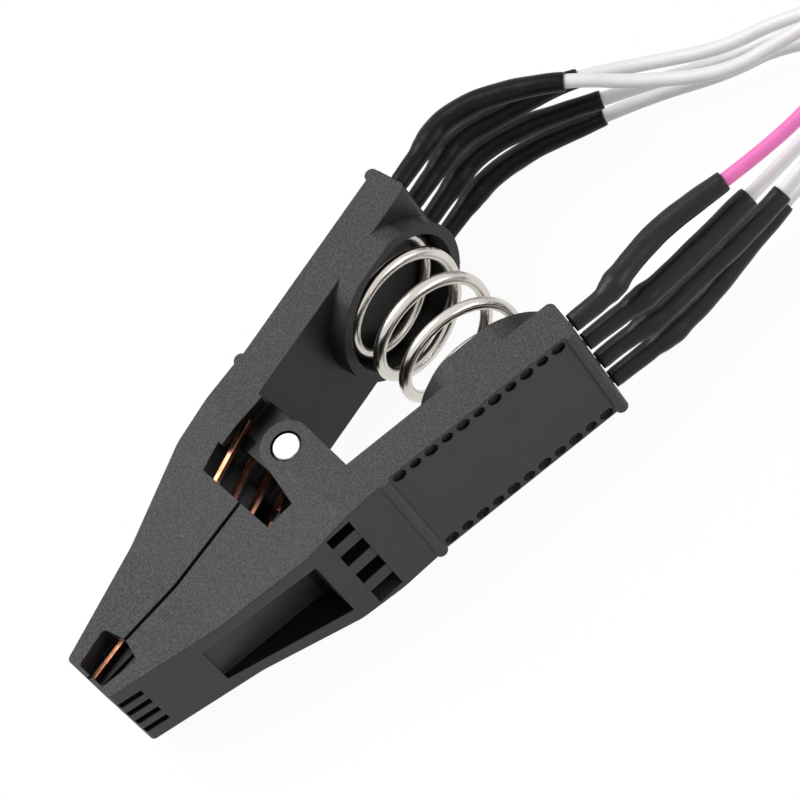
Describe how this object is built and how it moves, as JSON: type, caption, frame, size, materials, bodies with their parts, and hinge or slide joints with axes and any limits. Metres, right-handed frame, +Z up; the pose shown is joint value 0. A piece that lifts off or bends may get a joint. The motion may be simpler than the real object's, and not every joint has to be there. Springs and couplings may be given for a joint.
{
  "type": "ic test clip",
  "caption": "Spring-loaded test clip that grips a small-outline chip between two hinged jaws and brings its leads out on sleeved wires and a ribbon cable.",
  "frame": {"origin": "on the hinge pin's axis, at the side face that the clip lies on", "axes": "+X from the tip to the handles, +Y from the lower jaw to the upper jaw, +Z up along the hinge pin"},
  "size_m": [0.1154, 0.023, 0.0144],
  "materials": {
    "jaw_plastic": "fine-grained moulded",
    "pin_steel": "bright",
    "spring_steel": "nickel plated",
    "contact_copper": "bright copper alloy",
    "heat_shrink": "satin",
    "wire_pale": "satin",
    "wire_pink": "satin",
    "plug_plastic": "moulded"
  },
  "bodies": {
    "lower_jaw": {"lower_jaw": "jaw_plastic", "hinge_pin": "pin_steel", "spring": "spring_steel", "lower_contact_1": "contact_copper", "lower_contact_2": "contact_copper", "lower_contact_3": "contact_copper", "lower_contact_4": "contact_copper", "lower_sleeve_1": "heat_shrink", "lower_sleeve_2": "heat_shrink", "lower_sleeve_3": "heat_shrink", "lower_sleeve_4": "heat_shrink", "lower_wire_1": "wire_pink", "lower_wire_2": "wire_pale", "lower_wire_3": "wire_pale", "lower_wire_4": "wire_pale", "upper_wire_1": "wire_pale", "upper_wire_2": "wire_pale", "upper_wire_3": "wire_pale", "upper_wire_4": "wire_pale", "ribbon": "wire_pale", "plug_body": "plug_plastic", "plug_cover": "plug_plastic", "plug_contacts": "contact_copper"},
    "upper_jaw": {"upper_jaw": "jaw_plastic", "upper_contact_1": "contact_copper", "upper_contact_2": "contact_copper", "upper_contact_3": "contact_copper", "upper_contact_4": "contact_copper", "upper_sleeve_1": "heat_shrink", "upper_sleeve_2": "heat_shrink", "upper_sleeve_3": "heat_shrink", "upper_sleeve_4": "heat_shrink"}
  },
  "joints": [
    {"name": "jaw_hinge", "type": "hinge", "parent": "lower_jaw", "child": "upper_jaw", "pos_m": [0, 0, 0.00505], "axis": [0, 0, -1], "range_deg": [0, 22], "stiffness_Nm_per_rad": 0.1, "springref_deg": -34.38, "deforming": ["spring", "upper_wire_1", "upper_wire_2", "upper_wire_3", "upper_wire_4"]}
  ]
}
